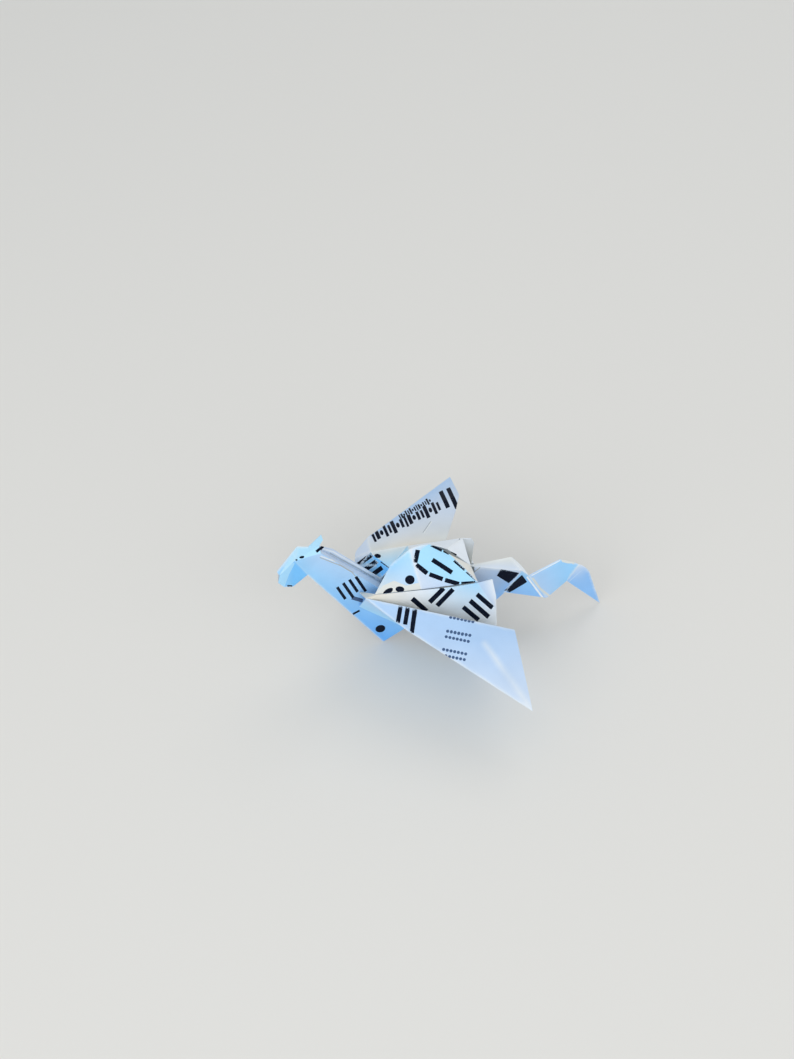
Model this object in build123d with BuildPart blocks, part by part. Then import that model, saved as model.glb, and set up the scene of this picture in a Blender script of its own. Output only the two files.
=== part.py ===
from build123d import *
import os

# Dragon folded from one square of paper. Millimetres, +X to the tail, +Y to
# the far wing, +Z up. It stands on its chest tip, two haunches and tail tip.

# Driving sizes
paper = 0.3                # pressed layers of the folded sheet
neck_reach = 14.4          # chest tip forward to the corner of the mouth
neck_height = 27.1         # table up to the back of the head
neck_half_gap = 0.8        # middle plane to a raw edge, at the back of the head
head_length = 4.9          # throat forward to the nose
head_height = 9.1          # throat up to the tip of the horn
lip_half_width = 0.6       # middle plane to the corner of the lip
body_length = 18.3         # chest tip back to the fold under a wing
body_half_width = 5.0      # middle plane to the fold along a wing's root
body_height = 23.7         # table up to the top of the hump
wing_sweep = 22.4          # front of the root back to the wing tip
wing_reach = 22.4          # front of the root out to the wing tip
wing_drop = 7.6            # front of the root down to the wing tip
tail_length = 25.0         # root of the tail back to its tip
tail_height = 16.7         # table up to the root of the tail
tail_half_width = 1.6      # middle plane to an open lower edge of the tail

# A crease stands just proud of the facets that meet in it.
crease_radius = 0.66 * paper

# Fold points, as shares of each form's length, half width and height
neck_shares = {
    "chest": (0, 0, 0),
    "throat": (-0.86, 0, 0.79),
    "cheek": (-1, 0.45, 0.953),
    "poll": (-0.7, 1, 1),
    "neck rise": (-0.549, 1.225, 0.945),
    "belly front": (0.49, 2, 0.27),
    "collar": (-0.288, 0.875, 0.578),
    "shoulder crease": (-0.285, 0.6, 0.428),
    "belly crease": (0.25, 1, 0.155),
}
withers_share = 0.58       # down the raw edge, from the poll to the belly front
head_shares = {
    "nose": (-1, 0, 0.22),
    "forehead": (-0.27, 0, 0.8),
    "crest": (0.1, 0, 0.75),
    "horn tip": (0.537, 0, 1),
    "horn corner": (0.586, 0, 0.871),
    "horn back": (0.45, 0, 0.725),
    "lip": (-0.94, 1, 0.2),
    "jaw tip": (-1, 0, -0.085),
    "chin": (-0.818, 0, -0.221),
    "jaw back": (-0.51, 0, -0.25),
}
body_shares = {
    "wing front": (-0.2, 0.9, 0.772),
    "hump front": (0.257, 0, 0.988),
    "hump back": (0.454, 0, 1),
    "hump slope": (0.612, 0.12, 0.9),
    "root middle": (0.3, 0.97, 0.79),
    "root back": (0.825, 1, 0.768),
    "wing fold": (1, 1.48, 0.338),
    "belly": (0.49, 0.8, 0.275),
    "haunch": (0.875, 1.56, 0),
}
near_body_shares = {
    "hump foot": (-0.115, 0.87, 0.792),
    "hump shoulder": (0.066, 0.32, 0.94),
    "flap corner": (0.975, 0.88, 0.738),
    "flap round": (1, 1.12, 0.616),
    "flap edge": (0.99, 1.3, 0.515),
}
far_body_shares = {
    "lip foot": (-0.17, 0.72, 0.725),
    "lip fold": (-0.048, 0.96, 0.796),
    "sleeve fold": (0.021, 0.54, 0.747),
    "hump foot": (0.09, 0.36, 0.727),
    "hump shoulder": (0.207, 0.06, 0.947),
    "flap corner": (0.922, 1.08, 0.73),
    "flap round": (0.95, 1.08, 0.684),
    "flap edge": (0.919, 0.88, 0.512),
}
near_wing_shares = {
    "wing tip": (1, 1, -1),
    "front edge": (0.243, 0.279, -0.282),
    "wing crease": (0.774, 0.484, -0.421),
    "back corner": (1.018, 0.424, -0.382),
}
far_wing_shares = {
    "wing tip": (1, 1, -1),
    "front corner": (0.143, 0.2, -0.04),
    "front curl": (0.068, 0.116, -0.017),
    "back corner": (0.969, 0.603, -0.434),
    "back edge": (0.888, 0.402, -0.303),
}
far_root_share = 0.7       # from the middle to the back of the wing's root
tail_root_share = 0.835    # of the body's length
tail_shares = {
    "root": (0, 0, 1),
    "ridge": (0.285, 0, 1.024),
    "dip": (0.425, 0, 0.683),
    "second ridge": (0.641, 0, 0.853),
    "second end": (0.741, 0, 0.772),
    "third ridge": (0.787, 0, 0.722),
    "third bend": (0.879, 0, 0.555),
    "tail tip": (1, 0, 0),
    "root low": (0, 2.1, 0.365),
    "low": (0.241, 1, 0.599),
    "kink": (0.569, 0.5, 0.317),
    "hollow": (0.701, 0.5, 0.545),
    "root pleat": (-0.034, 0.75, 1.01),
    "ridge pleat": (0.345, 0.875, 0.838),
}

# Facets, by the fold points at their corners
near_neck_facets = [
    ("chest", "throat", "poll", "belly front"),
    ("collar", "wing front", "hump foot"),
]
far_neck_facets = [
    ("chest", "throat", "poll", "neck rise", "belly front"),
    ("lip foot", "lip fold", "sleeve fold"),
    ("lip foot", "sleeve fold", "hump foot", "withers"),
]
head_facets = [
    ("throat", "cheek", "poll"),
    ("nose", "forehead", "lip"),
    ("forehead", "cheek", "lip"),
    ("forehead", "crest", "cheek"),
    ("crest", "horn back", "cheek"),
    ("horn back", "poll", "cheek"),
    ("lip", "cheek", "jaw back"),
    ("cheek", "throat", "jaw back"),
    ("lip", "jaw back", "chin", "jaw tip"),
]
inner_facets = [
    ("root", "root low", "belly front"),
]
hump_facets = [
    ("hump foot", "hump shoulder", "withers"),
    ("hump shoulder", "hump front", "withers"),
    ("hump foot", "hump shoulder", "root middle"),
    ("hump shoulder", "hump front", "root middle"),
    ("hump front", "hump back", "root middle"),
    ("hump back", "hump slope", "root middle"),
    ("hump slope", "root back", "root middle"),
    ("hump slope", "root back", "root"),
]
near_wall_facets = [
    ("wing front", "hump foot", "root middle", "root back", "flap edge", "wing fold"),
]
far_wall_facets = [
    ("wing front", "lip fold", "root middle", "root back", "wing fold"),
    ("root back", "flap edge", "wing fold"),
    ("lip fold", "sleeve fold", "hump foot", "root middle"),
]
body_facets = [
    ("root back", "flap corner", "flap round", "flap edge"),
    ("shoulder crease", "belly crease", "wing front"),
    ("belly crease", "belly", "wing front"),
    ("belly", "wing fold", "wing front"),
    ("belly", "haunch", "wing fold"),
]
near_wing_facets = [
    ("wing front", "front edge", "wing tip", "wing crease"),
    ("wing front", "wing crease", "wing tip", "back corner"),
    ("wing front", "back corner", "wing fold"),
]
far_wing_facets = [
    ("front corner", "wing tip", "back corner"),
    ("front corner", "back corner", "back edge", "far root", "root middle", "lip fold"),
    ("wing front", "front curl", "front corner", "lip fold"),
    ("wing front", "lip foot", "lip fold"),
]
tail_pleat_facets = [
    ("root", "ridge", "ridge pleat"),
    ("root", "ridge pleat", "root pleat"),
    ("ridge", "dip", "ridge pleat"),
    ("root pleat", "ridge pleat", "low"),
    ("root pleat", "low", "root low"),
    ("ridge pleat", "dip", "kink"),
    ("ridge pleat", "kink", "low"),
]
tail_wall_facets = [
    ("root", "ridge", "low"),
    ("root", "low", "root low"),
    ("ridge", "dip", "kink"),
    ("ridge", "kink", "low"),
]
tail_end_facets = [
    ("dip", "second ridge", "kink"),
    ("second ridge", "hollow", "kink"),
    ("second ridge", "second end", "hollow"),
    ("second end", "third ridge", "hollow"),
    ("third ridge", "third bend", "hollow"),
    ("third bend", "tail tip", "hollow"),
]
middle_facets = [
    ("crest", "horn tip", "horn corner", "horn back"),
]


def between(start, end, share):
    return start + (end - start) * share


def form_points(shares, start, length, half_width, height):
    # The size of a form, times each point's shares, from where the form starts
    return {
        name: start + Vector(length * along, half_width * out, height * up)
        for name, (along, out, up) in shares.items()
    }


def half_points(side, side_shares, wing_shares):
    # Every fold point of one half; side is -1 for the near half, 1 for the far one
    ground = Vector(0, 0, 0)
    points = form_points(
        neck_shares, ground, neck_reach, side * neck_half_gap, neck_height)
    points["withers"] = between(points["poll"], points["belly front"], withers_share)
    points |= form_points(
        head_shares, points["throat"], head_length, side * lip_half_width, head_height)
    points |= form_points(
        body_shares | side_shares, ground, body_length, side * body_half_width, body_height)
    points["far root"] = between(points["root middle"], points["root back"], far_root_share)
    points |= form_points(
        wing_shares, points["wing front"], wing_sweep, side * wing_reach, wing_drop)
    points |= form_points(
        tail_shares, Vector(body_length * tail_root_share, 0, 0),
        tail_length, side * tail_half_width, tail_height)
    return points


def corners_of(facets, points):
    return [[points[name] for name in facet] for facet in facets]


def edges_of(corners):
    return list(zip(corners, corners[1:] + corners[:1]))


def facet_plane(corners):
    # The plane through the middle of the corners, square to their mean normal
    middle = sum(corners, Vector(0, 0, 0)) / len(corners)
    normal = sum(
        ((start - middle).cross(end - middle) for start, end in edges_of(corners)),
        Vector(0, 0, 0))
    return Plane(origin=middle, x_dir=corners[1] - corners[0], z_dir=normal)


def fold_facet(corners):
    plane = facet_plane(corners)
    outline = [plane.to_local_coords(corner) for corner in corners]
    with BuildSketch(plane) as facet:
        with BuildLine():
            Polyline(*[(point.X, point.Y) for point in outline], close=True)
        make_face()
    return extrude(facet.sketch, amount=paper / 2, both=True, mode=Mode.PRIVATE)


def fold_crease(start, end):
    with BuildSketch(Plane(origin=start, z_dir=end - start)) as crease:
        Circle(crease_radius)
    return extrude(crease.sketch, amount=(end - start).length, mode=Mode.PRIVATE)


def shared_edges(all_corners):
    # Each edge once, where two or more facets meet
    found = {}
    for corners in all_corners:
        for start, end in edges_of(corners):
            ends = frozenset((round(start, 3), round(end, 3)))
            found.setdefault(ends, []).append((start, end))
    return [edges[0] for edges in found.values() if len(edges) > 1]


near = half_points(-1, near_body_shares, near_wing_shares)
far = half_points(1, far_body_shares, far_wing_shares)
half_facets = head_facets + inner_facets + hump_facets + body_facets + tail_end_facets
near_facets = near_neck_facets + near_wall_facets + near_wing_facets + tail_pleat_facets
far_facets = far_neck_facets + far_wall_facets + far_wing_facets + tail_wall_facets
facets = (
    corners_of(half_facets + near_facets, near)
    + corners_of(half_facets + far_facets, far)
    + corners_of(middle_facets, near)
    + [[near["hump back"], near["hump slope"], far["hump slope"]]]
    + [[near["hump slope"], far["hump slope"], near["root"]]]
)

with BuildPart() as folding:
    add([fold_facet(corners) for corners in facets])
    add([fold_crease(start, end) for start, end in shared_edges(facets)])

# The frame's origin is under the middle of the whole figure, on the table.
box = folding.part.bounding_box()
with BuildPart() as sheet:
    with Locations((-box.center().X, -box.center().Y, -box.min.Z)):
        add(folding.part)

os.makedirs("parts", exist_ok=True)
sheet.part.label = "folded_sheet"
export_step(sheet.part, "parts/folded_sheet.step")
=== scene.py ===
import math

import bmesh
import bpy
import numpy as np
from mathutils import Matrix, Vector, noise
from mathutils.geometry import delaunay_2d_cdt


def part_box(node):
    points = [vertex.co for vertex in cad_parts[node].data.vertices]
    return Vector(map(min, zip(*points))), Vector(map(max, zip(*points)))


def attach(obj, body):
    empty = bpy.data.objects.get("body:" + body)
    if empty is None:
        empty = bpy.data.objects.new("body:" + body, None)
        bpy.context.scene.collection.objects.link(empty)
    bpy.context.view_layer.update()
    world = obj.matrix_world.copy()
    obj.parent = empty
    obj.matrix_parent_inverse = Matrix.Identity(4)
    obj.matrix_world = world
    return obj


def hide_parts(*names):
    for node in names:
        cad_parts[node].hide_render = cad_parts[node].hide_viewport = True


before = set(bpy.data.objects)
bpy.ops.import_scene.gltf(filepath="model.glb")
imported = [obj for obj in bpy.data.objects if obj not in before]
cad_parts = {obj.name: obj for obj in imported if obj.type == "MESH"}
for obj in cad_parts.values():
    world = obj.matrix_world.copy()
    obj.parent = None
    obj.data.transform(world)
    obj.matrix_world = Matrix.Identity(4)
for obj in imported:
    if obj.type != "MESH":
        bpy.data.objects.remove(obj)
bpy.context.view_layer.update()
mm = 0.001

# fold points of the sheet in millimetres, measured from the tip of the chest;
# y is the reach to either side, so most points serve the near and the far half
foldPoints = {
    "chest": (0, 0, 0), "throat": (-12.4, 0, 21.4), "cheek": (-14.4, 0.36, 25.8),
    "poll": (-10.1, 0.8, 27.1), "bellyFront": (7.06, 1.6, 7.3), "withers": (-0.15, 1.26, 15.6),
    "neckRise": (-7.9, 0.98, 25.6), "collar": (-4.15, 0.7, 15.66),
    "shoulderCrease": (-4.1, 0.48, 11.6), "bellyCrease": (3.6, 0.8, 4.2),
    "wingFront": (-3.66, 4.5, 18.3), "humpFoot": (-2.1, 4.35, 18.8),
    "humpShoulder": (1.2, 1.6, 22.3), "humpFront": (4.7, 0, 23.4), "humpBack": (8.3, 0, 23.7),
    "humpSlope": (11.2, 0.6, 21.3), "lipFoot": (-3.12, 3.6, 17.18), "lipFold": (-0.87, 4.8, 18.87),
    "sleeveFold": (0.39, 2.7, 17.7), "farHumpFoot": (1.65, 1.8, 17.23),
    "farHumpShoulder": (4.1, 0.12, 22.9), "farFlapCorner": (16.88, 5.4, 17.29),
    "farFlapRound": (17.38, 5.4, 16.21), "farFlapEdge": (17.25, 5.8, 10.45),
    "rootMiddle": (5.5, 4.85, 18.7), "rootBack": (15.1, 5, 18.2), "flapCorner": (17.84, 4.4, 17.5),
    "flapEdge": (18.1, 6.5, 12.2), "wingFold": (18.3, 7.4, 8.0), "belly": (9, 4, 6.5),
    "haunch": (16, 7.8, 0), "wingTip": (18.7, 26.9, 10.7), "frontEdge": (1.79, 10.75, 16.16),
    "wingCrease": (13.67, 15.35, 15.1), "backCorner": (19.1, 14, 15.4),
    "farFrontCorner": (-0.46, 9, 18), "farCurl": (-2.14, 7.1, 18.17),
    "farBackCorner": (18.05, 18, 15), "farBackEdge": (16.2, 13.5, 16),
    "farRoot": (12.2, 4.96, 18.4), "root": (15.28, 0, 16.7), "ridge": (22.4, 0, 17.1),
    "dip": (25.9, 0, 11.4), "secondRidge": (31.3, 0, 14.25), "secondEnd": (33.8, 0, 12.9),
    "thirdRidge": (34.95, 0, 12.05), "thirdBend": (37.26, 0, 9.26), "tailTip": (40.28, 0, 0),
    "rootLow": (15.28, 3.4, 6.1), "low": (21.3, 1.6, 10), "kink": (29.5, 0.8, 5.3),
    "hollow": (32.8, 0.8, 9.1), "rootPleat": (15.69, 1.0, 17.35), "ridgePleat": (24.03, 1.2, 14.51),
    "trayFront": (-10.3, 0.62, 26.6), "trayBack": (6.6, 1.3, 7.3),
    "flapTopFront": (-2.1, 4.6, 18.95), "flapTopMiddle": (5.5, 5.2, 18.8),
    "flapTopBack": (15.1, 5.3, 18.35), "flapRound": (18.3, 5.6, 14.6),
    "nearTrail": (18.6, 20.5, 12.7), "farTrail": (18.1, 22.4, 12.5), "nose": (-17.3, 0, 23.4),
    "forehead": (-13.7, 0, 28.7), "crest": (-11.9, 0, 28.2), "hornTip": (-9.77, 0, 30.5),
    "hornCorner": (-9.53, 0, 29.33), "hornBack": (-10.2, 0, 28.0), "lip": (-17, 0.6, 23.2),
    "jawTip": (-17.3, 0, 20.63), "chin": (-16.41, 0, 19.39), "jawBack": (-14.9, 0, 19.12),
}

# tints of the sheet, as screen colours; the blues, creams and greys paint light and shade into the
# paper: sky blues on faces turned to the cool light, creams on faces turned to the warm light, deeper
# blues and greys on shaded faces, and whites that lift faces lying in shade
tints = {
    "ice": (184, 215, 249), "pale": (180, 227, 253), "sky": (154, 210, 252),
    "deep": (102, 178, 252), "azure": (122, 198, 255), "steel": (144, 196, 250),
    "slate": (150, 183, 222), "pearl": (208, 221, 238), "cream": (222, 224, 219),
    "warm": (232, 225, 210), "dim": (174, 204, 238), "snow": (240, 246, 252),
    "white": (240, 238, 230), "oval": (171, 224, 253), "shade": (136, 190, 232),
    # the near-white tint next paints wear and a highlight along folds and edges; the grey one paints
    # shadow lines along layered edges and folds
    "worn": (232, 236, 236), "hem": (178, 186, 190), "faded": (60, 88, 128),
    "mist": (170, 222, 255),
}

# lengths in mm, but for the scale of the ripple, which is per mm, and the angle in degrees
sheetSizes = {
    "thickness": 0.16, "grain": 0.42, "edgeClearance": 0.189, "leastStep": 0.02,
    "cockle": 0.07, "cockleReach": 0.8, "rippleScale": 0.45, "puffReach": 2.0,
    # the crease width is that of the lighter line along folds: wear of the paper with a painted
    # highlight of the rounded fold
    "creaseWearAndHighlight": 0.34, "sharpAngle": 14,
}

# place from the chest tip and sensor in mm, angles in degrees, nearest and farthest in metres
cameraSizes = {
    "place": (-28.3, -137.4, 183.4), "pitch": 47.67, "heading": -12.66,
    "focalPixels": 1300, "frameWidth": 794, "frameHeight": 1059, "sensor": 36,
    "nearest": 0.005, "farthest": 20,
}


def linear(colour):
    shares = [c / 255 for c in colour]
    return tuple(s / 12.92 if s <= 0.04 else ((s + 0.055) / 1.055) ** 2.4 for s in shares)


# the fold points and the CAD sheet share the centre of their boxes
reach = max(abs(p[1]) for p in foldPoints.values())
alongs, heights = [p[0] for p in foldPoints.values()], [p[2] for p in foldPoints.values()]
lowest = Vector((min(alongs), -reach, min(heights)))
highest = Vector((max(alongs), reach, max(heights)))
sheetLow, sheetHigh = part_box("folded_sheet")
shift = (sheetLow + sheetHigh) / 2 / mm - (lowest + highest) / 2

# camera, in the sheet's millimetres until it is placed
cameraPlace = Vector(cameraSizes["place"])
pitch, heading = math.radians(cameraSizes["pitch"]), math.radians(cameraSizes["heading"])
lookRight = Vector((math.cos(heading), math.sin(heading), 0))
lookForward = Vector((
    -math.sin(heading) * math.cos(pitch), math.cos(heading) * math.cos(pitch), -math.sin(pitch)))
lookDown = lookForward.cross(lookRight)


def sightLine(pixel):
    across = (pixel[0] - cameraSizes["frameWidth"] / 2) / cameraSizes["focalPixels"]
    down = (pixel[1] - cameraSizes["frameHeight"] / 2) / cameraSizes["focalPixels"]
    return (lookForward + across * lookRight + down * lookDown).normalized()


cameraData = bpy.data.cameras.new("photoCamera")
cameraData.sensor_width = cameraSizes["sensor"]
cameraData.lens = cameraSizes["sensor"] * cameraSizes["focalPixels"] / cameraSizes["frameHeight"]
cameraData.clip_start, cameraData.clip_end = cameraSizes["nearest"], cameraSizes["farthest"]
photoCamera = bpy.data.objects.new("photoCamera", cameraData)
bpy.context.scene.collection.objects.link(photoCamera)
photoCamera.location = (cameraPlace + shift) * mm
photoCamera.rotation_euler = (math.pi / 2 - pitch, 0, heading)
bpy.context.scene.camera = photoCamera
print("camera placed")

# how far the middle of an edge bows from the straight line, in mm;
# the third key is the side, or 0 for an edge on the middle plane
edgeBows = {
    ("wingFront", "farCurl", 1): (-0.3, 0.05, 0.1),
    ("wingFront", "lipFoot", 1): (-0.25, -0.05, 0.0),
    ("farFrontCorner", "lipFold", 1): (-0.15, 0, 0.05),
    ("lipFold", "sleeveFold", 1): (-0.15, -0.1, -0.1), ("humpFront", "humpBack", 0): (0, 0, 0.35),
    ("humpBack", "humpSlope", -1): (0.05, 0.05, 0.12),
    ("humpBack", "humpSlope", 1): (0.05, -0.05, 0.12),
    ("humpSlope", "rootBack", -1): (0.05, 0.05, 0.1),
    ("humpSlope", "rootBack", 1): (0.05, -0.05, 0.1),
    ("flapTopMiddle", "flapTopBack", -1): (0, -0.25, 0.1), ("ridge", "dip", 0): (0.15, 0, 0.15),
    ("thirdRidge", "thirdBend", 0): (0.2, 0, 0.25),
}


def cornerPoint(name, side):
    if name[0] == "-":  # a minus takes the other half's point
        name, side = name[1:], -side
    x, y, z = foldPoints[name]
    return Vector((x, y * side, z))


def edgeLine(first, second, side, extra=()):
    flip = first > second
    a, b = (second, first) if flip else (first, second)
    start, end = cornerPoint(a, side), cornerPoint(b, side)
    length = (end - start).length
    half = 0 if start.y == 0 and end.y == 0 else side
    bow = edgeBows.get((a, b, half)) or edgeBows.get((b, a, half)) or (0, 0, 0)
    steps = max(2, round(length / sheetSizes["grain"]))
    shares = sorted({i / steps for i in range(steps + 1)} | set(extra))
    kept = [shares[0]]
    for share in shares[1:]:
        if (share - kept[-1]) * length > sheetSizes["leastStep"]:
            kept.append(share)
    kept[-1] = 1.0
    line = [start.lerp(end, s) + Vector(bow) * 4 * s * (1 - s) for s in kept]
    return (line[::-1], [1 - s for s in kept][::-1]) if flip else (line, kept)


def edgeKey(first, second, side):
    ends = [tuple(round(c, 3) for c in cornerPoint(n, side)) for n in (first, second)]
    return tuple(sorted(ends))


# each panel: name, side (-1 near, 1 far), corners in order, one tint or one for each corner,
# which paints the light and shade of the face into the paper, and the puff of its middle in mm
panels = [
    ("neckNear", -1, "chest throat poll bellyFront", "deep sky ice sky", 0.1),
    ("cheekNear", -1, "throat cheek poll", "sky sky ice", 0.0),
    ("collarNear", -1, "collar wingFront humpFoot", "cream", 0.0),
    ("neckFar", 1, "chest throat poll neckRise bellyFront", "sky sky pearl pearl pearl", 0.0),
    ("cheekFar", 1, "throat cheek poll", "sky pale pearl", 0.0),
    ("neckTray", 1, "trayFront -trayFront -trayBack trayBack", "pearl pearl ice ice", 0.0),
    ("snoutNear", -1, "nose forehead lip", "sky pale sky", 0.0),
    ("browNear", -1, "forehead cheek lip", "pale", 0.0),
    ("templeNear", -1, "forehead crest cheek", "pale", 0.0),
    ("earNear", -1, "crest hornBack cheek", "pale", 0.0),
    ("napeNear", -1, "hornBack poll cheek", "pale", 0.0),
    ("jawUpperNear", -1, "lip cheek jawBack", "sky azure azure", 0.0),
    ("jawInnerNear", -1, "cheek throat jawBack", "azure", 0.0),
    ("jawLowerNear", -1, "lip jawBack chin jawTip", "sky azure azure sky", 0.0),
    ("snoutFar", 1, "nose forehead lip", "pearl", 0.0),
    ("browFar", 1, "forehead cheek lip", "pearl", 0.0),
    ("templeFar", 1, "forehead crest cheek", "pearl", 0.0),
    ("earFar", 1, "crest hornBack cheek", "pearl", 0.0),
    ("napeFar", 1, "hornBack poll cheek", "pearl", 0.0),
    ("jawUpperFar", 1, "lip cheek jawBack", "pearl", 0.0),
    ("jawInnerFar", 1, "cheek throat jawBack", "pearl", 0.0),
    ("jawLowerFar", 1, "lip jawBack chin jawTip", "pearl", 0.0),
    ("horn", 1, "crest hornTip hornCorner hornBack", "pale", 0.0),
    ("innerNear", -1, "root rootLow bellyFront", "cream", 0.0),
    ("innerFar", 1, "root rootLow bellyFront", "cream", 0.0),
    ("humpFaceNear", -1, "humpFoot humpShoulder withers", "pale", 0.0),
    ("humpFrontNear", -1, "humpShoulder humpFront withers", "pale", 0.0),
    ("humpLeftNear", -1, "humpFoot humpShoulder humpFront rootMiddle", "cream sky pale ice", 0.2),
    ("humpRightNear", -1, "humpFront humpBack humpSlope rootBack rootMiddle",
     "pearl oval oval ice pearl", 0.15),
    ("humpEndNear", -1, "humpSlope rootBack root", "white", 0.0),
    ("humpFaceFar", 1, "farHumpFoot farHumpShoulder withers", "pale", 0.0),
    ("humpFrontFar", 1, "farHumpShoulder humpFront withers", "pale", 0.0),
    ("humpLeftFar", 1, "farHumpFoot farHumpShoulder humpFront rootMiddle", "pale", 0.1),
    ("humpRightFar", 1, "humpFront humpBack humpSlope rootBack rootMiddle", "snow", 0.1),
    ("humpEndFar", 1, "humpSlope rootBack root", "snow", 0.0),
    ("flapNear", -1, "wingFront flapTopFront flapTopMiddle flapTopBack flapEdge wingFold",
     "warm warm snow mist snow white", 0.12),
    ("flapRearNear", -1, "flapTopBack flapCorner flapRound flapEdge", "ice snow snow pearl", 0.0),
    ("flapStripNear", -1, "flapEdge flapRound wingFold", "snow", 0.0),
    ("shoulderNear", -1, "shoulderCrease bellyCrease wingFront", "mist mist ice", 0.0),
    ("sideNear", -1, "bellyCrease belly wingFront", "sky", 0.0),
    ("flankNear", -1, "belly wingFold wingFront", "sky", 0.0),
    ("haunchNear", -1, "belly haunch wingFold", "steel", 0.0),
    ("sleeveFar", 1, "lipFoot lipFold sleeveFold", "shade", 0.0),
    ("sleeveLowFar", 1, "lipFoot sleeveFold farHumpFoot withers", "shade shade azure shade", 0.0),
    ("wingRootFar", 1, "lipFold sleeveFold farHumpFoot rootMiddle", "cream pale pale cream", 0.0),
    ("wallFar", 1, "wingFront lipFold rootMiddle rootBack wingFold", "cream", 0.0),
    ("wallBackFar", 1, "rootBack farFlapEdge wingFold", "snow", 0.0),
    ("flapRearFar", 1, "rootBack farFlapCorner farFlapRound farFlapEdge",
     "snow snow snow white", 0.0),
    ("shoulderFar", 1, "shoulderCrease bellyCrease wingFront", "pearl", 0.0),
    ("sideFar", 1, "bellyCrease belly wingFront", "pearl", 0.0),
    ("flankFar", 1, "belly wingFold wingFront", "pearl", 0.0),
    ("haunchFar", 1, "belly haunch wingFold", "pearl", 0.0),
    ("wingNear", -1, "wingFront frontEdge wingTip wingCrease", "ice dim pearl dim", 0.15),
    ("wingRearNear", -1, "wingFront wingCrease wingTip backCorner", "ice dim pearl dim", 0.15),
    ("wingUnderNear", -1, "wingFront frontEdge wingTip nearTrail backCorner", "sky", -0.15),
    ("wingStripNear", -1, "wingFront backCorner wingFold", "pearl", 0.0),
    ("wingFar", 1, "farFrontCorner wingTip farBackCorner", "ice ice pearl", 0.1),
    ("wingPanelFar", 1, "farFrontCorner farBackCorner farBackEdge farRoot rootMiddle lipFold",
     "pearl pearl pearl cream warm cream", -0.2),
    ("wingUnderFar", 1, "farFrontCorner wingTip farTrail farBackCorner", "pearl", -0.1),
    ("lipFar", 1, "wingFront farCurl farFrontCorner lipFold", "pearl", 0.12),
    ("lipLowFar", 1, "wingFront lipFoot lipFold", "pearl", 0.0),
    ("tailTopNear", -1, "root ridge ridgePleat rootPleat", "cream cream pearl pearl", 0.0),
    ("tailPleatNear", -1, "ridge dip ridgePleat", "snow", 0.0),
    ("tailSideNear", -1, "rootPleat ridgePleat low rootLow", "pearl slate steel slate", 0.0),
    ("tailKinkNear", -1, "ridgePleat dip kink low", "sky sky steel steel", 0.0),
    ("tailSideFar", 1, "root ridge low rootLow", "cream", 0.0),
    ("tailKinkFar", 1, "ridge dip kink low", "cream", 0.0),
    ("tailRiseNear", -1, "dip secondRidge secondEnd hollow kink", "ice sky sky sky ice", 0.1),
    ("tailTurnNear", -1, "secondEnd thirdRidge hollow", "sky", 0.0),
    ("tailLastNear", -1, "thirdRidge thirdBend tailTip hollow", "pearl steel steel steel", 0.0),
    ("tailRiseFar", 1, "dip secondRidge secondEnd hollow kink", "pearl", 0.1),
    ("tailTurnFar", 1, "secondEnd thirdRidge hollow", "pearl", 0.0),
    ("tailLastFar", 1, "thirdRidge thirdBend tailTip hollow", "pearl", 0.0),
]

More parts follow.
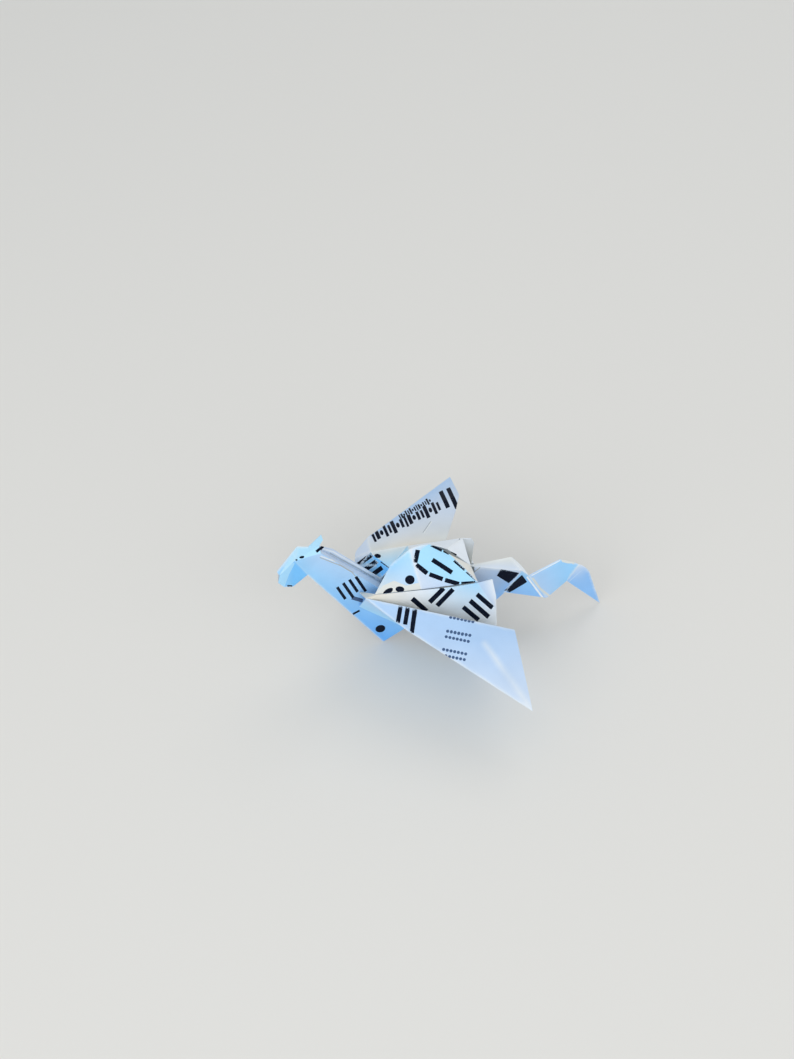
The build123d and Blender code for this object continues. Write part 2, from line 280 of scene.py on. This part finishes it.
# generic print: plain bars, ticks, dots and blocks, at places given in pixels of the photograph;
# each mark: kind, size, places, then an oval's height and tilt, or a row's height and count
printMarks = {
    "neckNear": [
        ("stroke", 3.0, (338.0, 587.6), (344.6, 597.2)),
        ("stroke", 3.0, (344.0, 583.6), (352.4, 595.6)),
        ("stroke", 3.0, (350.2, 580.4), (356.8, 590.0)),
        ("stroke", 3.0, (356.6, 577.6), (365.0, 589.6)),
        ("stroke", 2.0, (353.7, 613.2), (358.8, 610.4)), ("oval", 5.0, (380.3, 628.0), 3.7, -12),
    ],
    "shoulderNear": [("stroke", 3.2, (353.5, 597.6), (360.5, 599.6))],
    "snoutNear browNear templeNear earNear napeNear cheekNear": [
        ("oval", 2.6, (301.8, 557.0), 1.4, -8), ("oval", 1.2, (296.4, 559.6), 0.8, 0),
    ],
    "jawLowerNear jawUpperNear": [("stroke", 1.7, (288.0, 585.6), (291.4, 585.8))],
    "napeNear earNear horn neckTray neckFar": [("stroke", 2.8, (317.4, 550.8), (322.0, 547.0))],
    "wingNear wingRearNear": [
        ("stroke", 4.4, (400.6, 606.0), (398.2, 621.0)),
        ("stroke", 4.4, (407.8, 607.6), (405.4, 622.6)),
        ("stroke", 4.6, (415.0, 609.6), (412.0, 630.8)),
    ],
    "flapNear": [
        ("stroke", 4.8, (441.6, 588.4), (431.0, 599.6)),
        ("stroke", 4.8, (451.0, 589.6), (438.4, 603.0)),
        ("stroke", 5.2, (414.0, 599.6), (424.6, 609.0)),
        ("stroke", 4.6, (464.6, 607.6), (476.6, 617.6)),
        ("stroke", 4.8, (471.6, 601.6), (486.6, 614.6)),
        ("stroke", 4.6, (478.6, 595.6), (490.6, 606.0)),
    ],
    "humpLeftNear": [
        ("oval", 4.8, (409.6, 579.6), 4.5, 0), ("oval", 5.6, (388.0, 591.4), 2.6, -32),
        ("oval", 4.4, (399.8, 589.2), 3.0, 4),
    ],
    "humpRightNear": [
        ("stroke", 4.4, (417.0, 552.0), (415.6, 560.4)),
        ("stroke", 4.4, (418.0, 566.0), (425.4, 572.0)),
        ("stroke", 4.4, (431.4, 575.0), (440.6, 578.4)),
        ("stroke", 4.4, (447.0, 580.6), (456.6, 583.4)),
        ("stroke", 4.2, (463.0, 583.8), (472.6, 583.2)),
        ("stroke", 4.2, (468.4, 572.6), (475.6, 579.0)),
        ("stroke", 4.2, (456.4, 561.6), (463.6, 568.0)),
        ("stroke", 4.6, (434.0, 561.0), (450.0, 571.4)),
        ("stroke", 2.4, (431.0, 545.8), (440.6, 550.2)),
        ("stroke", 1.6, (444.0, 551.6), (448.6, 553.8)),
    ],
    "wingFar wingPanelFar": [
        ("ticks", 2.5, (371.5, 537.6), (440.5, 505.6), 8.6, 17),
        ("ticks", 1.3, (399.0, 518.2), (431.0, 500.6), 4.6, 15),
        ("stroke", 4.4, (441.6, 493.8), (447.2, 505.6)),
        ("stroke", 4.4, (449.0, 490.6), (456.4, 506.2)),
    ],
    "sleeveFar sleeveLowFar lipLowFar": [
        ("stroke", 5.0, (359.4, 563.8), (372.6, 554.0)),
        ("stroke", 4.8, (363.6, 570.8), (377.6, 560.6)),
        ("stroke", 4.6, (368.4, 577.6), (380.4, 568.8)),
        ("stroke", 2.4, (364.0, 583.0), (370.4, 590.0)),
    ],
    "wingRootFar wingPanelFar lipFar": [
        ("oval", 3.4, (377.6, 556.0), 2.1, 8), ("stroke", 1.1, (381.0, 562.2), (388.4, 567.6)),
    ],
    "humpRightFar humpEndFar flapRearFar": [("stroke", 2.2, (443.0, 549.0), (455.0, 555.0))],
    "tailSideNear": [
        ("shape", 0, (496.6, 575.4), (500.8, 568.4), (518.8, 571.8), (516.4, 575.4),
         (508.6, 583.0)),
    ],
    "tailKinkNear tailSideNear": [
        ("shape", 0, (521.4, 574.2), (527.6, 582.4), (510.6, 593.4), (504.6, 591.0)),
    ],
}

# painted shadow lines along hems, layered edges and folds, painted highlights along edges and folds,
# lit and shaded patches painted on faces, and faded print, each with its tint first, at places in
# pixels
paintedLightAndFadedPrintMarks = {
    # faded print, then a painted shadow line along the hem and a painted highlight along the raw top
    # edge
    "neckNear": [
        ("faded", "stroke", 3.8, (353.6, 597.4), (361.0, 599.6)),
        ("hem", "stroke", 1.0, (320.0, 557.2), (341.0, 565.4), (352.0, 572.0), (361.0, 582.0)),
        ("worn", "stroke", 1.0, (321.0, 555.8), (341.6, 563.8), (353.2, 571.0)),
    ],
    # a painted highlight along the far wall's top edge and a painted shadow line below it
    "neckTray neckFar": [
        ("snow", "stroke", 1.8, (322.0, 548.2), (333.0, 551.6), (380.0, 578.4)),
        ("hem", "stroke", 0.9, (330.0, 553.0), (357.0, 567.6), (374.0, 577.4)),
    ],
    # a lighter patch painted on the jaw, where that face turns to the light
    "jawUpperNear jawLowerNear": [
        ("mist", "shape", 0, (276.5, 572.0), (295.6, 561.4), (289.0, 574.0), (283.6, 588.0),
         (276.0, 585.0)),
    ],
    # a painted shadow line with a painted highlight beside it, along a crease of the far wing
    "wingPanelFar wingFar": [
        ("hem", "stroke", 0.7, (430.5, 521.5), (423.0, 532.5)),
        ("worn", "stroke", 0.9, (431.6, 522.0), (424.0, 533.0)),
    ],
    # painted highlights and lit cream slivers along the tail's folds
    "tailKinkNear": [("snow", "stroke", 1.8, (528.4, 578.6), (541.8, 597.0))],
    "tailRiseNear tailTurnNear": [
        ("cream", "stroke", 2.2, (533.0, 578.4), (540.0, 588.4), (549.0, 595.4)),
        ("snow", "stroke", 0.8, (531.8, 575.0), (559.4, 560.2)),
        ("cream", "shape", 0, (561.0, 558.6), (574.6, 560.4), (574.2, 564.0), (568.0, 563.6),
         (562.0, 561.6)),
    ],
    # a painted shadow line along a layered edge, then a painted highlight along a fold
    "tailSideNear": [("hem", "stroke", 0.9, (472.0, 574.6), (480.4, 568.0))],
    "tailLastNear tailTurnNear": [("ice", "stroke", 0.9, (567.4, 582.0), (580.6, 570.4))],
    # painted light: the brighter blue of the hump's rear face
    "humpRightNear": [
        ("oval", "shape", 0, (421.0, 549.0), (417.0, 554.0), (416.0, 560.0), (418.4, 566.6),
         (424.0, 571.6), (431.0, 575.0), (440.0, 578.6), (449.0, 582.0), (460.0, 584.4),
         (474.0, 583.4), (480.0, 581.0), (462.0, 563.0), (452.0, 554.0), (441.0, 547.6),
         (430.0, 542.6)),
    ],
    "wingNear wingRearNear": [
        ("faded", "dots", 1.7, (447.6, 631.4), (469.6, 636.0), 7),
        ("faded", "dots", 1.7, (446.2, 637.0), (468.2, 641.6), 7),
        ("faded", "dots", 1.7, (443.6, 649.6), (465.6, 654.2), 7),
        ("faded", "dots", 1.7, (442.2, 655.2), (464.2, 659.8), 7),
        ("faded", "dots", 1.7, (450.6, 617.6), (472.6, 622.2), 7),
    ],
    # painted light: the bright blue of the sleeve's lit side
    "sleeveFar sleeveLowFar wingRootFar": [
        ("azure", "shape", 0, (371.6, 554.4), (381.6, 561.2), (390.4, 568.6), (384.0, 579.0),
         (378.4, 570.0), (375.0, 562.0)),
    ],
    # painted warm light on the lower part of the hump's left face
    "humpLeftNear": [
        ("cream", "shape", 0, (372.0, 600.0), (383.0, 585.6), (394.0, 580.6), (406.0, 585.4),
         (422.0, 582.0), (424.0, 593.0)),
    ],
    # a painted shadow line at the fold of the far flap
    "wallBackFar flapRearFar humpRightFar": [
        ("hem", "stroke", 1.0, (459.6, 541.0), (453.0, 555.5)),
    ],
}
markSets = {}
for names, marks in printMarks.items():
    for name in names.split():
        markSets.setdefault(name, []).extend(("ink", mark) for mark in marks)
for names, marks in paintedLightAndFadedPrintMarks.items():
    for name in names.split():
        markSets.setdefault(name, []).extend((mark[0], mark[1:]) for mark in marks)

# the bars of a row of ticks differ in turn; each fourth one is a small oval
markLooks = {
    "ovalCorners": 20, "dotCorners": 6,
    "tall": (1.0, 0.62, 0.62, 1.0, 0.62), "wide": (1.0, 1.5, 0.8, 1.2),
    "ovalAt": 2, "ovalWide": 0.9, "ovalTall": 0.28,
}


def ovalOutline(x, y, wide, tall, count, tilt=0.0):
    cosine, sine = math.cos(tilt), math.sin(tilt)
    outline = []
    for i in range(count):
        angle = 2 * math.pi * i / count
        u, v = wide * math.cos(angle), tall * math.sin(angle)
        outline.append((x + u * cosine - v * sine, y + u * sine + v * cosine))
    return outline


def barOutline(start, end, size):
    (x0, y0), (x1, y1) = start, end
    length = math.hypot(x1 - x0, y1 - y0)
    ux, uy = (x1 - x0) / length * size / 2, (y1 - y0) / length * size / 2
    return [(x0 - ux - uy, y0 - uy + ux), (x1 + ux - uy, y1 + uy + ux),
            (x1 + ux + uy, y1 + uy - ux), (x0 - ux + uy, y0 - uy - ux)]


def tickOutlines(size, start, end, tall, count):
    (x0, y0), (x1, y1) = start, end
    length = math.hypot(x1 - x0, y1 - y0)
    nx, ny = (y1 - y0) / length, -(x1 - x0) / length
    corners = markLooks["ovalCorners"]
    outlines = []
    for i in range(count):
        x, y = x0 + (x1 - x0) * (i + 0.5) / count, y0 + (y1 - y0) * (i + 0.5) / count
        half = tall / 2 * markLooks["tall"][i % 5]
        wide = size * markLooks["wide"][i % 4]
        if i % 4 == markLooks["ovalAt"]:
            wide, high = wide * markLooks["ovalWide"], tall * markLooks["ovalTall"]
            outlines.append(ovalOutline(x, y, wide, high, corners, math.atan2(y1 - y0, x1 - x0)))
        else:
            foot, top = (x - nx * half, y - ny * half), (x + nx * half, y + ny * half)
            outlines.append(barOutline(foot, top, wide))
    return outlines


def markOutlines(kind, size, *spots):
    if kind == "shape":
        return [list(spots)]
    if kind == "oval":
        (x, y), tall, tilt = spots
        return [ovalOutline(x, y, size, tall, markLooks["ovalCorners"], math.radians(tilt))]
    if kind == "dots":
        (x0, y0), (x1, y1), count = spots
        stepX, stepY = (x1 - x0) / (count - 1), (y1 - y0) / (count - 1)
        corners = markLooks["dotCorners"]
        return [ovalOutline(x0 + stepX * i, y0 + stepY * i, size, size, corners) for i in range(count)]
    if kind == "ticks":
        return tickOutlines(size, *spots)
    return [barOutline(start, end, size) for start, end in zip(spots[:-1], spots[1:])]


def blendInside(point, ring, values):
    # mean value coordinates spread the values of the outline over the panel
    away = ring - point
    length = np.hypot(away[:, 0], away[:, 1])
    nearest = int(length.argmin())
    if length[nearest] < 1e-6:
        return values[nearest]
    following = np.roll(away, -1, axis=0)
    nextLength = np.roll(length, -1)
    cross = away[:, 0] * following[:, 1] - away[:, 1] * following[:, 0]
    dot = (away * following).sum(1)
    onEdge = (np.abs(cross) < 1e-5 * length * nextLength) & (dot < 0)
    if onEdge.any():
        i = int(onEdge.argmax())
        j = (i + 1) % len(ring)
        return (values[i] * length[j] + values[j] * length[i]) / (length[i] + length[j])
    tangent = (length * nextLength - dot) / np.where(np.abs(cross) < 1e-12, 1e-12, cross)
    weight = (np.roll(tangent, 1) + tangent) / length
    return (weight[:, None] * values).sum(0) / weight.sum()


def turn(outline):
    return sum(a[0] * b[1] - a[1] * b[0] for a, b in zip(outline, outline[1:] + outline[:1]))


def inside(point, ring):
    x, y = point
    x0, y0 = ring[:, 0], ring[:, 1]
    x1, y1 = np.roll(x0, -1), np.roll(y0, -1)
    rise = np.where(y1 == y0, 1e-12, y1 - y0)
    crossing = ((y0 > y) != (y1 > y)) & (x < (x1 - x0) * (y - y0) / rise + x0)
    return crossing.sum() % 2 == 1


def edgeDistances(point, starts, ends):
    run = ends - starts
    share = ((point - starts) * run).sum(1) / np.maximum((run * run).sum(1), 1e-12)
    foot = starts + np.clip(share, 0, 1)[:, None] * run
    return np.hypot(*(foot - point).T)


# width in mm and strength of the lighter line along a fold, where they aren't the usual ones; the line
# is partly wear of the paper and partly a painted highlight of the rounded fold
foldWearsAndHighlights = {
    ("wingTip", "wingCrease"): (0.85, 0.9), ("wingFront", "wingCrease"): (0.3, 0),
    ("farFrontCorner", "farBackCorner"): (0.3, 0), ("forehead", "cheek"): (0.3, 0.3),
    ("cheek", "lip"): (0.3, 0.2), ("crest", "cheek"): (0.3, 0), ("hornBack", "cheek"): (0.3, 0),
    ("lip", "jawBack"): (0.3, 0.1), ("cheek", "jawBack"): (0.3, 0), ("throat", "cheek"): (0.3, 0.2),
    ("throat", "jawBack"): (0.3, 0), ("throat", "poll"): (0.3, 0), ("forehead", "lip"): (0.3, 0.1),
    ("cheek", "poll"): (0.3, 0), ("crest", "hornBack"): (0.3, 0), ("hornBack", "poll"): (0.3, 0.3),
    ("secondEnd", "hollow"): (0.3, 0), ("humpFoot", "humpShoulder"): (0.3, 0.3),
    ("dip", "ridgePleat"): (0.3, 0.5), ("flapTopBack", "flapEdge"): (0.3, 0.3),
}
edgeUse = {}
for name, side, corners, look, puff in panels:
    names = corners.split()
    for a, b in zip(names, names[1:] + names[:1]):
        key = edgeKey(a, b, side)
        edgeUse[key] = edgeUse.get(key, 0) + 1


def foldWearAndHighlight(a, b, key):
    if edgeUse[key] == 1:  # a raw edge
        return (sheetSizes["creaseWearAndHighlight"], 0)
    return foldWearsAndHighlights.get((a, b)) or foldWearsAndHighlights.get((b, a)) or (sheetSizes["creaseWearAndHighlight"], 1)


def makePanel(panel, crossings):
    name, side, corners, look, puff = panel
    names = corners.split()
    looks = look.split() if " " in look else [look] * len(names)
    cornerTint = [np.array(linear(tints[t])) for t in looks]
    spots = [cornerPoint(n, side) for n in names]
    centre = sum(spots, Vector()) / len(spots)
    normal = Vector()
    for a, b in zip(spots, spots[1:] + spots[:1]):
        normal += (a - centre).cross(b - centre)
    normal.normalize()
    if normal.dot(cameraPlace - centre) < 0:
        normal = -normal
    across = (spots[1] - spots[0])
    across = (across - normal * across.dot(normal)).normalized()
    upward = normal.cross(across)

    def flat(p):
        return ((p - centre).dot(across), (p - centre).dot(upward))

    def onPanel(pixel):
        sight = sightLine(pixel)
        return flat(cameraPlace + sight * ((centre - cameraPlace).dot(normal) / sight.dot(normal)))

    if turn([flat(p) for p in spots]) < 0:  # the triangulation wants every outline anticlockwise
        names, cornerTint = names[::-1], cornerTint[::-1]

    ringSpots, ringTints, wearsAndHighlights, edgeOf = [], [], [], []
    for i, (a, b) in enumerate(zip(names, names[1:] + names[:1])):
        key = edgeKey(a, b, side)
        line, shares = edgeLine(a, b, side, crossings.get(key, ()))
        for p, s in list(zip(line, shares))[:-1]:
            ringSpots.append(p)
            ringTints.append(cornerTint[i] * (1 - s) + cornerTint[(i + 1) % len(names)] * s)
            wearsAndHighlights.append(foldWearAndHighlight(a, b, key))
            edgeOf.append((a, b))
    ring = np.array([flat(p) for p in ringSpots])
    height = np.array([(p - centre).dot(normal) for p in ringSpots])
    values = np.column_stack([height, np.array(ringTints)])
    starts, ends = ring, np.roll(ring, -1, axis=0)

    grain = sheetSizes["grain"]
    low, high = ring.min(0), ring.max(0)
    points = [tuple(p) for p in ring]
    row = 0
    y = low[1]
    while y < high[1]:
        x = low[0] + (grain / 2 if row % 2 else 0)
        while x < high[0]:
            clear = edgeDistances(np.array((x, y)), starts, ends).min() > sheetSizes["edgeClearance"]
            if clear and inside((x, y), ring):
                points.append((x, y))
            x += grain
        y += grain * 0.866  # rows of even triangles
        row += 1

    # outline 0 is the panel's own, and the others are the marks on it
    faces, faceLooks = [list(range(len(ring)))], [""]
    for look, mark in markSets.get(name, []):
        for pixels in markOutlines(*mark):
            outline = [onPanel(pixel) for pixel in pixels]
            outline = outline if turn(outline) > 0 else outline[::-1]
            faces.append(list(range(len(points), len(points) + len(outline))))
            faceLooks.append(look)
            points += outline
    made = delaunay_2d_cdt([Vector(p) for p in points], [], faces, 1, 1e-4, True)
    flatVerts, _, triangles, oldVerts, _, oldFaces = made
    kept = []
    for triangle, old in zip(triangles, oldFaces):
        if 0 in old:
            found = {faceLooks[f] for f in old if f > 0}
            kept.append((triangle, "ink" if "ink" in found else max(found, default="")))
    return {
        "side": side, "centre": centre, "axes": (across, upward, normal), "puff": puff,
        "ring": ring, "ringSpots": ringSpots, "starts": starts, "ends": ends, "edgeOf": edgeOf,
        "values": values, "wearsAndHighlights": np.array(wearsAndHighlights),
        "flatVerts": flatVerts, "oldVerts": oldVerts, "triangles": kept,
    }


# where a mark crosses a fold, both panels get a point there
crossings = {}
for panel in panels:
    if panel[0] not in markSets:
        continue
    made = makePanel(panel, {})
    across, upward, normal = made["axes"]
    ringCount = len(made["ring"])
    for vert in {v for triangle, _ in made["triangles"] for v in triangle}:
        if any(old < ringCount for old in made["oldVerts"][vert]):
            continue
        p = np.array(made["flatVerts"][vert])
        gaps = edgeDistances(p, made["starts"], made["ends"])
        if gaps.min() > 1e-3:
            continue
        a, b = sorted(made["edgeOf"][int(np.argmin(gaps))])
        start, end = cornerPoint(a, made["side"]), cornerPoint(b, made["side"])
        place = made["centre"] + across * float(p[0]) + upward * float(p[1])
        share = (place - start).dot(end - start) / (end - start).length_squared
        crossings.setdefault(edgeKey(a, b, made["side"]), []).append(share)
print("print crosses", len(crossings), "folds")

sheet = bmesh.new()
tintLayer = sheet.loops.layers.float_color.new("tint")
sharedVerts = {}


def sheetVert(place):
    key = tuple(round(c, 3) for c in place)
    if key not in sharedVerts:
        sharedVerts[key] = sheet.verts.new(place + shift)
    return sharedVerts[key]


for panel in panels:
    made = makePanel(panel, crossings)
    across, upward, normal = made["axes"]
    ringCount = len(made["ring"])
    verts, colours = [], []
    for v, p in enumerate(made["flatVerts"]):
        own = [o for o in made["oldVerts"][v] if o < ringCount]
        point = np.array(p)
        value = made["values"][own[0]] if own else blendInside(point, made["ring"], made["values"])
        gaps = edgeDistances(point, made["starts"], made["ends"])
        width, strength = made["wearsAndHighlights"].T
        # the lighter line along folds: wear of the paper and a painted highlight of the rounded fold
        gap, wearAndHighlight = float(gaps.min()), max(0.0, float((strength * (1 - gaps / width)).max()))
        if own:
            place = made["ringSpots"][own[0]]
        else:
            place = made["centre"] + across * float(p[0]) + upward * float(p[1])
            swell = gap / (gap + sheetSizes["puffReach"])
            cockle = sheetSizes["cockle"] * min(1, gap / sheetSizes["cockleReach"])
            ripple = noise.noise(place * sheetSizes["rippleScale"]) * cockle
            place = place + normal * (float(value[0]) + made["puff"] * swell + ripple)
        verts.append(sheetVert(place))
        colours.append((*value[1:4], wearAndHighlight))
    for triangle, look in made["triangles"]:
        corners = [verts[v] for v in triangle]
        if len(set(corners)) < 3 or sheet.faces.get(corners):
            continue
        face = sheet.faces.new(corners)
        face.normal_update()
        if face.normal.dot(normal) < 0:
            face.normal_flip()
        face.material_index = 1 if look == "ink" else 0
        face.smooth = True
        order = {vert: colours[v] for vert, v in zip(corners, triangle)}
        for loop in face.loops:
            loop[tintLayer] = order[loop.vert] if look in ("", "ink") else (*linear(tints[look]), 0)
print("panels folded:", len(panels), "faces:", len(sheet.faces))

sheetMesh = bpy.data.meshes.new("foldedPaper")
sheet.to_mesh(sheetMesh)
sheet.free()
foldedPaper = bpy.data.objects.new("foldedPaper", sheetMesh)
bpy.context.scene.collection.objects.link(foldedPaper)

# noise scales are per metre; each ramp is two stops, a position and a colour
paperLooks = {
    "fibre": {"Scale": 2600, "Detail": 6, "Roughness": 0.62},
    "mottle": {"Scale": 260, "Detail": 4},
    "mottleRamp": ((0.3, (0.94, 0.945, 0.95)), (0.7, (1, 1, 1))),
    "dropout": {"Scale": 5200, "Detail": 3},
    "dropoutRamp": ((0.68, (0, 0, 0)), (0.84, (0.8, 0.8, 0.8))),
    "dropoutWear": 0.42,
    "bump": {"Strength": 0.35, "Distance": 0.00003},
    "ink": (0.003, 0.006, 0.017),
}


def paperMaterial(name, roughness, shine, ink=None):
    material = bpy.data.materials.new(name)
    material.use_nodes = True
    nodes, links = material.node_tree.nodes, material.node_tree.links
    shader = nodes["Principled BSDF"]
    place = nodes.new("ShaderNodeTexCoord")
    tint = nodes.new("ShaderNodeAttribute")
    tint.attribute_name = "tint"

    def noiseFrom(values):
        made = nodes.new("ShaderNodeTexNoise")
        for socket, value in values.items():
            made.inputs[socket].default_value = value
        links.new(place.outputs["Object"], made.inputs["Vector"])
        return made.outputs["Fac"]

    def rampFrom(source, stops):
        ramp = nodes.new("ShaderNodeValToRGB")
        for element, (position, colour) in zip(ramp.color_ramp.elements, stops):
            element.position = position
            element.color = (*colour, 1)
        links.new(source, ramp.inputs["Fac"])
        return ramp.outputs["Color"]

    def mixOf(blend, share, first, second):
        mix = nodes.new("ShaderNodeMix")
        mix.data_type, mix.blend_type = "RGBA", blend
        for socket, value in zip((mix.inputs[0], mix.inputs[6], mix.inputs[7]), (share, first, second)):
            if isinstance(value, bpy.types.NodeSocket):
                links.new(value, socket)
            else:
                socket.default_value = value
        return mix.outputs[2]

    fibre, mottle = noiseFrom(paperLooks["fibre"]), noiseFrom(paperLooks["mottle"])
    shade = rampFrom(mottle, paperLooks["mottleRamp"])
    surface = mixOf("MULTIPLY", 1, tint.outputs["Color"], shade)
    # towards the near-white tint along folds: wear of the paper and a painted highlight of the rounded
    # fold
    wearAndHighlightShare = nodes.new("ShaderNodeMath")
    wearAndHighlightShare.operation = "MULTIPLY"
    links.new(tint.outputs["Alpha"], wearAndHighlightShare.inputs[0])
    links.new(mottle, wearAndHighlightShare.inputs[1])
    surface = mixOf("MIX", wearAndHighlightShare.outputs[0], surface, (*linear(tints["worn"]), 1))
    if ink:
        wearAndHighlight = nodes.new("ShaderNodeMath")
        wearAndHighlight.operation = "MULTIPLY_ADD"
        links.new(tint.outputs["Alpha"], wearAndHighlight.inputs[0])
        wearAndHighlight.inputs[1].default_value = paperLooks["dropoutWear"]
        links.new(noiseFrom(paperLooks["dropout"]), wearAndHighlight.inputs[2])
        gaps = rampFrom(wearAndHighlight.outputs[0], paperLooks["dropoutRamp"])
        surface = mixOf("MIX", gaps, (*ink, 1), surface)
    links.new(surface, shader.inputs["Base Color"])
    gloss = nodes.new("ShaderNodeMapRange")
    gloss.inputs["To Min"].default_value, gloss.inputs["To Max"].default_value = roughness
    links.new(mottle, gloss.inputs["Value"])
    links.new(gloss.outputs["Result"], shader.inputs["Roughness"])
    bump = nodes.new("ShaderNodeBump")
    for socket, value in paperLooks["bump"].items():
        bump.inputs[socket].default_value = value
    links.new(fibre, bump.inputs["Height"])
    links.new(bump.outputs["Normal"], shader.inputs["Normal"])
    shader.inputs["Specular IOR Level"].default_value = shine
    return material


printedPaper = paperMaterial("printedPaper", (0.5, 0.68), 0.35)
printInk = paperMaterial("printInk", (0.45, 0.6), 0.06, paperLooks["ink"])
paperReverse = paperMaterial("paperReverse", (0.6, 0.78), 0.3)
for material in (printedPaper, printInk, paperReverse, paperReverse):  # the reverse of paper and of ink
    foldedPaper.data.materials.append(material)

solidify = foldedPaper.modifiers.new("paperThickness", "SOLIDIFY")
solidify.solidify_mode = "NON_MANIFOLD"
solidify.nonmanifold_thickness_mode = "FIXED"
solidify.nonmanifold_boundary_mode = "NONE"
solidify.nonmanifold_merge_threshold = 0.0001
solidify.thickness = sheetSizes["thickness"]
solidify.offset = 0
solidify.material_offset = 2
solidify.material_offset_rim = 0
dg = bpy.context.evaluated_depsgraph_get()
thick = bpy.data.meshes.new_from_object(foldedPaper.evaluated_get(dg))
foldedPaper.modifiers.clear()
foldedPaper.data = thick
thick.transform(Matrix.Scale(mm, 4))
thick.set_sharp_from_angle(angle=math.radians(sheetSizes["sharpAngle"]))
print("paper thickened:", len(thick.polygons), "faces")

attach(foldedPaper, "root")
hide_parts("folded_sheet")

floorSizes = {"half": 1.5, "colour": (226, 223, 217), "roughness": 0.8}
half = floorSizes["half"]
floorMesh = bpy.data.meshes.new("paleFloor")
floorCorners = [(-half, -half, 0), (half, -half, 0), (half, half, 0), (-half, half, 0)]
floorMesh.from_pydata(floorCorners, [], [(0, 1, 2, 3)])
paleFloor = bpy.data.objects.new("paleFloor", floorMesh)
bpy.context.scene.collection.objects.link(paleFloor)
floorMaterial = bpy.data.materials.new("paleFloor")
floorMaterial.use_nodes = True
floorShader = floorMaterial.node_tree.nodes["Principled BSDF"]
floorShader.inputs["Base Color"].default_value = (*linear(floorSizes["colour"]), 1)
floorShader.inputs["Roughness"].default_value = floorSizes["roughness"]
floorMesh.materials.append(floorMaterial)

# each lamp looks at the origin; places and sizes in metres, power in watts
lightSizes = {
    "keyLamp": {"place": (0.25, 0.30, 0.55), "size": 0.35, "power": 0.56},
    "frontLamp": {"place": (-0.45, -0.35, 0.30), "size": 0.5, "power": 1.3},
    "sideLamp": {"place": (0.08, -0.54, 0.38), "size": 0.5, "power": 0.8},
    "rightLamp": {"place": (0.45, -0.42, 0.34), "size": 0.4, "power": 0.35},
    "topLamp": {"place": (-0.05, 0.0, 0.7), "size": 0.6, "power": 0.26},
}
skyLook = {"colour": (0.9, 0.95, 1), "strength": 0.62}
for name, lamp in lightSizes.items():
    data = bpy.data.lights.new(name, "AREA")
    data.energy, data.size = lamp["power"], lamp["size"]
    light = bpy.data.objects.new(name, data)
    light.location = lamp["place"]
    light.rotation_mode = "QUATERNION"
    light.rotation_quaternion = (-Vector(lamp["place"])).to_track_quat("-Z", "Y")
    bpy.context.scene.collection.objects.link(light)

world = bpy.data.worlds.new("studio")
world.use_nodes = True
background = world.node_tree.nodes["Background"]
background.inputs["Color"].default_value = (*skyLook["colour"], 1)
background.inputs["Strength"].default_value = skyLook["strength"]
bpy.context.scene.world = world
bpy.context.scene.view_settings.view_transform = "Standard"
print("stage and lamps placed")
